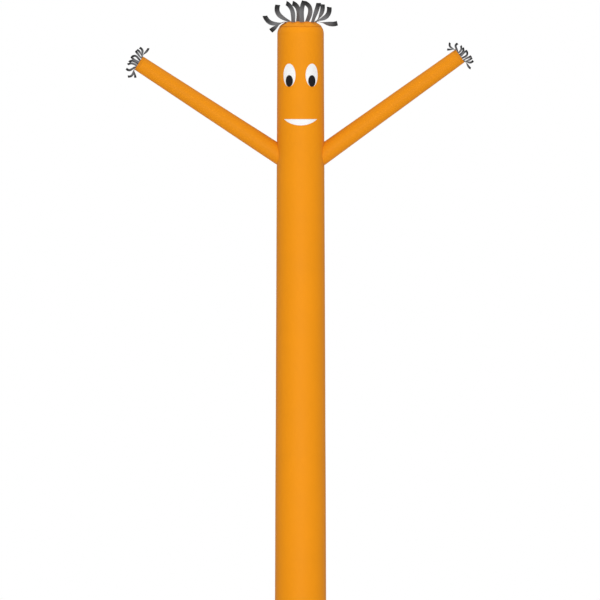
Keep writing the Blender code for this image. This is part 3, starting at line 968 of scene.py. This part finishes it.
white_cloth = cloth_shader(
    "white nylon", (0.93, 0.93, 0.93), NYLON_ROUGHNESS, cell=PATCH_CELL, doubled=0.0
)
black_cloth = cloth_shader(
    "black nylon", (0.013, 0.012, 0.014), 0.55, sheen=0.1, cell=PATCH_CELL, doubled=0.0
)
white_thread = thread_material("white thread", (0.78, 0.78, 0.76))
black_thread = thread_material("black thread", (0.02, 0.02, 0.022))


def oval_outline(half_width, half_height):
    """Gives columns of (across, top, bottom) from the middle, some distance in from the edge."""

    def columns(inset, count):
        turns = [math.pi * i / count for i in range(count + 1)]
        wide, tall = half_width - inset, half_height - inset
        return [(-wide * math.cos(t), tall * math.sin(t), -tall * math.sin(t)) for t in turns]

    return columns


def smile_lower(across, inset):
    """Height of the smile's lower curve, raised square to itself by the inset."""
    share = min(1.0, abs(across) / SMILE_HALF_WIDTH)
    slope = SMILE_DEPTH / SMILE_HALF_WIDTH * SMILE_FULLNESS * share ** (SMILE_FULLNESS - 1)
    return -SMILE_DEPTH * (1 - share**SMILE_FULLNESS) + inset * math.hypot(1, slope)


def smile_outline(inset, count):
    """Columns of the half-moon, as for an oval, measured from the middle of its top edge."""
    low, high = 0.0, SMILE_HALF_WIDTH
    for _ in range(40):  # where the raised curve meets the lowered top edge
        middle = (low + high) / 2
        if smile_lower(middle, inset) < -inset:
            low = middle
        else:
            high = middle
    columns = []
    for i in range(count + 1):
        across = -low * math.cos(math.pi * i / count)
        top = -inset
        bottom = min(top, smile_lower(across, inset))
        columns.append((across, top, top if i in (0, count) else bottom))
    return columns


def on_wall(angle, height, across, up, lift):
    """A point over the tube's front; angle and height give the patch's middle."""
    turn = angle - math.pi / 2 + across / tube_radius(height)
    height += up
    return polar(skin_radius(turn, height) + wall_rise(turn, height) + lift, turn, height)


def patch_piece(name, outline, angle, height, base, material):
    """A closed flat patch: rings over its edge, and columns across both of its faces."""
    points, flat, faces, rings = [], [], [], []

    def add(across, up, lift):
        uneven = 0.25 * MM * ripple(across / 0.03, up / 0.03, height)
        raised = base + lift + (uneven if lift > PATCH_TOP else 0)
        points.append(on_wall(angle, height, across, up, raised))
        flat.append((across, up))
        return len(points) - 1

    for inset, lift in PATCH_EDGE:
        columns = outline(inset * MM, PATCH_COLUMNS)
        upper = [add(x, top, lift * MM) for x, top, _ in columns]
        lower = [add(x, bottom, lift * MM) for x, _, bottom in columns[1:-1]]
        rings.append((columns, upper, [upper[0], *lower, upper[-1]]))
    for (_, u1, l1), (_, u2, l2) in zip(rings, rings[1:]):
        for i in range(PATCH_COLUMNS):
            faces.append((u1[i], u1[i + 1], u2[i + 1], u2[i]))
            faces.append((l2[i], l2[i + 1], l1[i + 1], l1[i]))
    for (columns, upper, lower), (_, lift), flip in (
        (rings[0], PATCH_EDGE[0], False),
        (rings[-1], PATCH_EDGE[-1], True),
    ):
        bands = [lower]
        for step in range(1, PATCH_FILL):
            share = step / PATCH_FILL
            band = [upper[0]]
            for x, top, bottom in columns[1:-1]:
                band.append(add(x, bottom + (top - bottom) * share, lift * MM))
            bands.append(band + [upper[-1]])
        bands.append(upper)
        for low_band, high_band in zip(bands, bands[1:]):
            for i in range(PATCH_COLUMNS):
                face = (low_band[i], low_band[i + 1], high_band[i + 1], high_band[i])
                face = tuple(dict.fromkeys(face))
                if len(face) > 2:
                    faces.append(face[::-1] if flip else face)
    return cloth_piece(name, points, faces, flat, [0.0] * len(points), material, thickness=0)


def patch_row(outline, angle, height, base):
    """The line of stitches all round a patch."""
    inset, lift = PATCH_STITCH
    columns = outline(inset * MM, PATCH_STITCH_STEPS)
    places = [(x, top) for x, top, _ in columns] + [(x, low) for x, _, low in columns[-2:0:-1]]
    return [on_wall(angle, height, x, up, base + lift * MM) for x, up in places]


for side, sign in (("left", -1), ("right", 1)):
    outline = oval_outline(EYE_HALF_WIDTH, EYE_HALF_HEIGHT)
    white = patch_piece(f"{side}_eye_patch", outline, sign * EYE_SPREAD, EYE_HEIGHT, 0, white_cloth)
    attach(white, "root")
    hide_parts(f"eye_white_{side}")
    row = patch_row(outline, sign * EYE_SPREAD, EYE_HEIGHT, 0)
    stitches = sew(f"{side}_eye_stitches", [row], white_thread, closed=True)

    outline = oval_outline(PUPIL_HALF_WIDTH, PUPIL_HALF_HEIGHT)
    pupil = patch_piece(
        f"{side}_pupil_patch", outline, sign * PUPIL_SPREAD, PUPIL_HEIGHT, PUPIL_LIFT, black_cloth
    )
    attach(pupil, "root")
    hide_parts(f"pupil_{side}")
    row = patch_row(outline, sign * PUPIL_SPREAD, PUPIL_HEIGHT, PUPIL_LIFT)
    stitches = sew(f"{side}_pupil_stitches", [row], black_thread, closed=True)

smile = patch_piece("smile_patch", smile_outline, 0, SMILE_TOP, 0, white_cloth)
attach(smile, "root")
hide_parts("smile")
row = patch_row(smile_outline, 0, SMILE_TOP, 0)
stitches = sew("smile_stitches", [row], white_thread, closed=True)

# ---------------------------------------------------------------- Tufts
# Each tuft is a ring of tape with eleven strips of satin ribbon caught in it, every end cut on
# a slant. One ring is sewn on the head, and one inside the hem of each open hand.
#
# One row for each strip. root: degrees round the ring from +X. bend and tip: across and along
# the tuft from the ring's middle, in mm at the head's size. face: degrees that the strip's flat
# side turns away from the front. turned: share of its length where that turn is done. width: in
# mm at the head's size.
STRIP_COLUMNS = ("root", "bend_x", "bend_z", "tip_x", "tip_z", "face", "turned", "width")
STRIPS = (
    (165, -216, -46, -264, -76, 20, 0.95, 44),
    (-155, -262, -75, -314, 55, 15, 0.80, 42),
    (131, -240, 42, -200, 155, 12, 0.75, 44),
    (-117, -48, 122, -127, 166, 15, 0.70, 40),
    (98, 12, 138, -72, 170, 10, 0.60, 42),
    (-85, -4, 120, 34, 186, 20, 0.60, 42),
    (67, 132, 128, 38, 172, 15, 0.70, 40),
    (-42, 140, 96, 160, 168, 20, 0.75, 42),
    (-14, 205, 72, 192, 157, 8, 0.80, 40),
    (30, 266, 14, 252, 135, 5, 0.80, 42),
    (12, 258, -38, 324, -8, 5, 0.85, 42),
)
RIBBON = 0.7 * MM  # thickness
RIBBON_ROWS = 40
RIBBON_COLUMNS = 8
ROOT_RISE = 30 * MM  # how far a ribbon heads straight away from its ring
DEPTH_SPREAD = 1.35  # how much deeper a ribbon's tip lies than its root
TURN_LENGTH = 0.55  # share of a ribbon's length over which it twists to its face
TURN_FROM = 0.125  # share of its length where the twist is measured from
HEADING_STEP = 0.01  # share of its length over which a ribbon's direction is taken
RIBBON_CUP = 0.10  # rise of a ribbon's middle, as a share of its width
RIBBON_WAVE = 0.05  # how far it ripples, as a share of its width
RIBBON_SLANT = 0.08  # how far the cut end slants, as a share of the width
# Painted light on the ribbons: a painted satin sheen at the root and middle, darkening to painted
# shade at the tip.
RIBBON_PAINTED_SHADE = 0.86  # how much darker a ribbon's tip is than its root
LENGTH_STEPS = 60  # for measuring a ribbon along its curve
RIBBON_SPACE = 60 * MM  # between two ribbons laid out flat
TAPE_STEPS = 96
TAPE_CORNER_STEPS = 4
THIN_THREAD = 0.35 * MM  # radius of the thread in the tape

ribbon_cloth = cloth_shader(
    "charcoal satin ribbon", (0.15, 0.15, 0.156), 0.42, sheen=0.15, doubled=0.0, ribbon=True
)


def bezier(points, share):
    """A point of the smooth curve that four points steer."""
    weights = [math.comb(3, i) * share**i * (1 - share) ** (3 - i) for i in range(4)]
    return sum((w * p for w, p in zip(weights, points)), Vector())


def build_ribbon(row, start, slope, scale, lean, lift, clear, seed):
    """Points of one ribbon, row by row from its root, in the tuft's own frame."""
    root = math.radians(row["root"])
    away = Vector((math.sin(slope) * math.cos(root), math.sin(slope) * math.sin(root), 1))
    swing = Matrix.Rotation(lean, 3, "Y")
    bend = swing @ Vector((row["bend_x"], 0, row["bend_z"] + lift)) * MM * scale
    tip = swing @ Vector((row["tip_x"], 0, row["tip_z"] + lift)) * MM * scale
    tip.y = start.y * DEPTH_SPREAD
    bend.y = (start.y + tip.y) / 2
    steering = (start, start + away.normalized() * (ROOT_RISE + clear), bend, tip)
    tangent = Vector((-math.sin(root), math.cos(root), 0))
    stops = [bezier(steering, i / LENGTH_STEPS) for i in range(LENGTH_STEPS + 1)]
    length = sum((after - before).length for before, after in zip(stops, stops[1:]))
    width = row["width"] * MM * scale

    def heading_at(share):
        ahead, behind = share + HEADING_STEP, share - HEADING_STEP
        return (bezier(steering, ahead) - bezier(steering, behind)).normalized()

    def axes_at(share):
        heading = heading_at(max(share, HEADING_STEP))
        level = Vector((0, 1, 0)).cross(heading).normalized()
        return heading, level, heading.cross(level)

    _, level, edge_on = axes_at(TURN_FROM)
    turn_start = math.atan2(tangent.dot(edge_on), tangent.dot(level))
    turn_end = math.radians(row["face"])
    turn_end += math.pi * round((turn_start - turn_end) / math.pi)
    slant = RIBBON_SLANT * width / length * (1 if seed % 2 else -1)
    grid = []
    for i in range(RIBBON_ROWS + 1):
        line = []
        for j in range(RIBBON_COLUMNS + 1):
            side = 2 * j / RIBBON_COLUMNS - 1
            share = i / RIBBON_ROWS * (1 + slant * side)
            heading, level, edge_on = axes_at(share)
            turn = turn_start + (turn_end - turn_start) * eased(
                share, row["turned"] - TURN_LENGTH, row["turned"]
            )
            across = level * math.cos(turn) + edge_on * math.sin(turn)
            across = tangent.lerp(across, eased(share, 0, 0.12))
            across = (across - heading * across.dot(heading)).normalized()
            through = across.cross(heading)
            cup = RIBBON_CUP * width * (1 - side * side) * eased(share, 0.02, 0.3)
            wave = RIBBON_WAVE * width * ripple(share * length / 0.05, 0.6 * side, seed + 0.5)
            wave *= eased(share, 0.02, 0.25)
            place = bezier(steering, share)
            outward = Vector((start.x, start.y, 0))
            bowed = (side * width / 2) ** 2 / (2 * outward.length)
            place -= outward.normalized() * bowed * (1 - eased(share, 0, 0.15))
            line.append(place + across * side * width / 2 + through * (cup + wave))
        grid.append(line)
    return grid, width, length


def build_ribbons(name, frame_at, radius, tape, slope, scale, lean, lift, seed):
    """All ribbons of a tuft as one piece, their area, and the length of the longest."""
    rows = [dict(zip(STRIP_COLUMNS, values)) for values in STRIPS]
    points, faces, flat, painted_sheen_and_shade, area, longest = [], [], [], [], 0.0, 0.0
    for number, row in enumerate(rows):
        root = math.radians(row["root"])
        start = Vector((radius * math.cos(root), radius * math.sin(root), 0))
        start += polar(math.sin(slope), root, math.cos(slope)) * (tape["height"] - tape["caught"])
        grid, width, length = build_ribbon(
            row, start, slope, scale, lean, lift, tape["clear"], seed + number
        )
        area += width * length
        longest = max(longest, length)
        base = len(points)
        columns = RIBBON_COLUMNS + 1
        for i, line in enumerate(grid):
            share = i / RIBBON_ROWS
            for j, place in enumerate(line):
                points.append(frame_at @ place)
                flat.append((number * RIBBON_SPACE + j / RIBBON_COLUMNS * width, share * length))
                # painted satin sheen near the root, darkening to painted shade towards the tip
                painted_sheen_and_shade.append(1.0 - RIBBON_PAINTED_SHADE * eased(share, 0.55, 0.97))
                if i and j:
                    a, b = base + (i - 1) * columns + j, base + i * columns + j
                    faces.append((a - 1, a, b, b - 1))
    obj = cloth_piece(
        name, points, faces, flat, [0.0] * len(points), ribbon_cloth, thickness=None
    )
    attribute = obj.data.attributes.new("painted_sheen_and_shade", "FLOAT", "POINT")
    attribute.data.foreach_set("value", painted_sheen_and_shade)
    obj.data = thickened(obj, RIBBON, offset=0)
    obj.data.set_sharp_from_angle(angle=CORNER_ANGLE)
    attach(obj, "root")
    return obj, area, longest


def build_tape(name, frame_at, radius, tape, slope):
    """The ring of tape that holds a tuft's ribbons, and the stitches along its top."""
    section = []  # its rounded section: out from the ring's radius, and up
    wide, tall = tape["width"] / 2, tape["height"]
    corner = min(wide, tall / 2) * 0.6
    for centre_x, centre_z, first in (
        (wide - corner, corner, -90), (wide - corner, tall - corner, 0),
        (corner - wide, tall - corner, 90), (corner - wide, corner, 180),
    ):
        for step in range(TAPE_CORNER_STEPS):
            turn = math.radians(first + 90 * step / (TAPE_CORNER_STEPS - 1))
            section.append((centre_x + corner * math.cos(turn), centre_z + corner * math.sin(turn)))

    def on_ring(i, out, rise):
        """A point of the tape at step i round it, out from the ring's radius and up."""
        angle = math.tau * i / TAPE_STEPS
        from_axis = radius + out * math.cos(slope) + rise * math.sin(slope)
        return frame_at @ polar(from_axis, angle, rise * math.cos(slope) - out * math.sin(slope))

    points, faces, flat = [], [], []
    sides = len(section)
    for i in range(TAPE_STEPS):
        n = (i + 1) % TAPE_STEPS
        for k, (out, rise) in enumerate(section):
            points.append(on_ring(i, out, rise))
            flat.append((radius * math.tau * i / TAPE_STEPS, k * 2 * MM))
            m = (k + 1) % sides
            faces.append((i * sides + k, n * sides + k, n * sides + m, i * sides + m))
    band = cloth_piece(
        name + "_tape",
        points,
        faces,
        flat,
        [0.0] * len(points),
        tape["cloth"],
        girth=math.tau * radius,
        thickness=0,
    )
    line = [on_ring(i, wide * 0.55, tall + 0.1 * MM) for i in range(TAPE_STEPS)]
    threads = sew(
        name + "_stitches", [line], orange_thread, closed=True, radius=THIN_THREAD
    )
    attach(band, "root")
    return band, threads


def build_tuft(name, frame_at, radius, tape, slope, scale, lean, lift, seed):
    """tape: its width, height and cloth, how deep the ribbons start in it, and how much farther
    they run straight to clear what is round it. scale: the tuft's size against the head's. lean
    and lift: how it is turned, and how much farther its ribbons reach."""
    tuft, area, longest = build_ribbons(
        name, frame_at, radius, tape, slope, scale, lean, lift, seed
    )
    band, threads = build_tape(name, frame_at, radius, tape, slope)
    return tuft, band, threads, area, longest


HEAD_RING_RADIUS = 140 * MM
HEAD_TAPE_LIFT = 1 * MM
HAND_TAPE_DEPTH = 8 * MM  # back from the open end
HAND_TAPE_GAP = 1.1 * MM  # from the hem's inner face

slope = math.asin((HEAD_RING_RADIUS - flat_radius) / SHOULDER_ROUNDING)
height = SHOULDER_HEIGHT + (SHOULDER_ROUNDING + HEAD_TAPE_LIFT) * math.cos(slope)
tape = {
    "width": 6 * MM,
    "height": 2.2 * MM,
    "caught": 1.2 * MM,
    "clear": 0,
    "cloth": head_cloth,
    "slot": "orange_head",
}
tuft, band, threads, area, longest = build_tuft(
    "head_ribbons",
    Matrix.Translation((0, 0, height)),
    HEAD_RING_RADIUS,
    tape,
    slope,
    scale=1,
    lean=0,
    lift=4,
    seed=20,
)
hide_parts("hair_head")

# For each hand: the tuft's size against the head's, its lean in degrees, how much farther its
# ribbons reach in mm at the head's size, and its seed
for side, scale, lean, lift, seed in (("left", 0.48, -3, 14, 40), ("right", 0.45, -9, 6, 60)):
    arm = ARMS[side]
    tape = {
        "width": 1.6 * MM,
        "height": 9 * MM,
        "caught": 6 * MM,
        "clear": 4 * MM,
        "cloth": arm_cloth,
        "slot": "orange_arms",
    }
    inside = HAND_RADIUS - 2 * HEM_FOLD - HAND_TAPE_GAP - tape["width"] / 2
    place = arm["frame"] @ Matrix.Translation((0, 0, arm["reach"] - HAND_TAPE_DEPTH))
    tuft, band, threads, area, longest = build_tuft(
        f"{side}_hand_ribbons", place, inside, tape, 0, scale, math.radians(lean), lift, seed
    )
    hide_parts(f"hair_{side}_hand")
